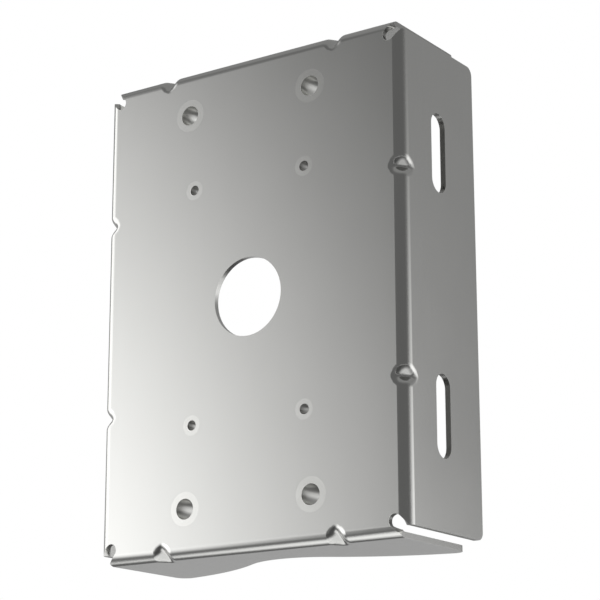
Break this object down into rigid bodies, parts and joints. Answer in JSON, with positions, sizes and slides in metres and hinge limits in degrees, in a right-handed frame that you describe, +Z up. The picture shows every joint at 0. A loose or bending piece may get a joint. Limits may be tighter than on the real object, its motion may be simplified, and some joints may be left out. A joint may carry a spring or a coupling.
{
  "type": "camera pole mount",
  "caption": "Folded stainless sheet bracket that straps to a pole: flat face with pressed-in threaded nuts and a cable hole, slotted side flanges, hollowed end flanges.",
  "frame": {"origin": "middle of the bounding box in X and Y, on the plane of the bottom flange's outer face", "axes": "+Z up along the pole, -Y out of the face that carries the camera, +Y towards the pole, +X to the right seen from behind"},
  "size_m": [0.127, 0.047, 0.176],
  "materials": {
    "sheet_steel": "satin rolled stainless sheet",
    "nut_steel": "turned stainless steel"
  },
  "bodies": {
    "root": {"bracket": "sheet_steel", "large_nuts": "nut_steel", "small_nuts": "nut_steel"}
  },
  "joints": []
}
